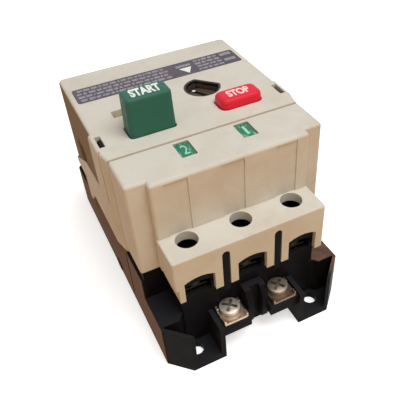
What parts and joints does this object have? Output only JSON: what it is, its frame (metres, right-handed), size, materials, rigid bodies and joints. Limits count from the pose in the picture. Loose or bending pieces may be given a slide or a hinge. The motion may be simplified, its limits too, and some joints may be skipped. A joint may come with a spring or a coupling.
{
  "type": "motor protection circuit breaker",
  "caption": "Manual motor starter with a beige cover on a black base, green start and red stop push buttons, a current-setting dial, screw terminals and screw feet.",
  "frame": {"origin": "centre of the base's underside, on the mounting plane", "axes": "+X across the poles, -Y towards the load terminals, +Z out of the mounting plane towards the operating face"},
  "size_m": [0.065, 0.1058, 0.0754],
  "materials": {
    "beige_plastic": "moulded, fine matt texture, slightly yellowed",
    "black_plastic": "moulded thermoset, satin",
    "green_plastic": "moulded, satin",
    "red_plastic": "moulded, soft gloss",
    "dial_plastic": "moulded, soft gloss",
    "label_grey": "printed film, blank",
    "aux_green": "moulded, satin",
    "zinc_steel": "zinc plated",
    "clamp_steel": "nickel plated, pressed",
    "dark_steel": "steel, darkened",
    "frame_steel": "zinc plated sheet",
    "spring_steel": "bright wire",
    "copper": "bare copper",
    "bimetal_strip": "rolled strip",
    "heater_alloy": "resistance ribbon",
    "white_nylon": "moulded",
    "dark_thermoset": "moulded thermoset",
    "grey_fibre": "vulcanised fibre"
  },
  "bodies": {
    "case": {"load_cover": "beige_plastic", "housing": "beige_plastic", "line_hood": "beige_plastic", "base": "black_plastic", "load_terminal_block": "black_plastic", "line_terminal_block": "black_plastic", "pole_barriers": "black_plastic", "snap_arms": "black_plastic", "dial_well": "dial_plastic", "label_strip": "label_grey", "aux_block_left": "aux_green", "aux_block_right": "aux_green", "aux_terminal_screws": "zinc_steel", "housing_screws": "zinc_steel", "rocker_pin": "zinc_steel", "latch_pin": "zinc_steel", "load_terminal_screws": "dark_steel", "line_terminal_screws": "dark_steel", "load_clamp_plates": "dark_steel", "line_clamp_plates": "dark_steel", "aux_clamp_plates": "clamp_steel", "mechanism_frame": "frame_steel", "coil_yokes": "frame_steel", "arc_plates": "frame_steel", "opening_springs": "spring_steel", "line_terminal_bars": "copper", "load_terminal_bars": "copper", "load_contact_bars": "copper", "coil_windings": "copper", "aux_conductors": "copper", "bimetals": "bimetal_strip", "heater_ribbons": "heater_alloy", "coil_bobbins": "white_nylon", "arc_plate_holders": "grey_fibre"},
    "start": {"start_button": "green_plastic"},
    "stop": {"stop_button": "red_plastic"},
    "rocker": {"rocker": "white_nylon"},
    "carrier": {"contact_carrier": "dark_thermoset", "moving_bridges": "copper", "contact_springs": "spring_steel"},
    "dial": {"adjusting_dial": "dial_plastic"},
    "trip": {"trip_bar": "white_nylon"},
    "latch": {"latch_lever": "white_nylon"},
    "plunger_left": {"plunger_left": "frame_steel"},
    "plunger_centre": {"plunger_centre": "frame_steel"},
    "plunger_right": {"plunger_right": "frame_steel"}
  },
  "joints": [
    {"name": "start_press", "type": "slide", "parent": "case", "child": "start", "axis": [0, 0, 1], "range_m": [-0.0082, 0], "stiffness_N_per_m": 300, "springref_m": 0.004},
    {"name": "stop_slide", "type": "slide", "parent": "case", "child": "stop", "axis": [0, 0, 1], "range_m": [0, 0.0082]},
    {"name": "rocker_turn", "type": "hinge", "parent": "case", "child": "rocker", "pos_m": [0.00065, -0.0088, 0.0509], "axis": [0, 1, 0], "range_deg": [-31.9, 0]},
    {"name": "carrier_slide", "type": "slide", "parent": "case", "child": "carrier", "axis": [0, 0, 1], "range_m": [-0.0036, 0], "deforming": ["opening_springs"]},
    {"name": "dial_turn", "type": "hinge", "parent": "case", "child": "dial", "pos_m": [0.0093, 0.0049, 0.0602], "axis": [0, 0, 1], "range_deg": [-135, 135]},
    {"name": "trip_slide", "type": "slide", "parent": "case", "child": "trip", "axis": [0, 1, 0], "range_m": [0, 0.0016], "stiffness_N_per_m": 400, "springref_m": -0.001},
    {"name": "latch_turn", "type": "hinge", "parent": "case", "child": "latch", "pos_m": [0.013, -0.0165, 0.044], "axis": [1, 0, 0], "range_deg": [0, 18.5]},
    {"name": "plunger_left_lift", "type": "slide", "parent": "case", "child": "plunger_left", "axis": [0, 0, 1], "range_m": [0, 0.002], "stiffness_N_per_m": 150, "springref_m": -0.002},
    {"name": "plunger_centre_lift", "type": "slide", "parent": "case", "child": "plunger_centre", "axis": [0, 0, 1], "range_m": [0, 0.002], "stiffness_N_per_m": 150, "springref_m": -0.002},
    {"name": "plunger_right_lift", "type": "slide", "parent": "case", "child": "plunger_right", "axis": [0, 0, 1], "range_m": [0, 0.002], "stiffness_N_per_m": 150, "springref_m": -0.002}
  ],
  "couplings": [
    {"joint": "stop_slide", "follows": "start_press", "ratio": -1},
    {"joint": "rocker_turn", "follows": "start_press", "rad_per_m": 67.758},
    {"joint": "carrier_slide", "follows": "start_press", "ratio": 0.42683},
    {"joint": "latch_turn", "follows": "trip_slide", "rad_per_m": 200}
  ]
}
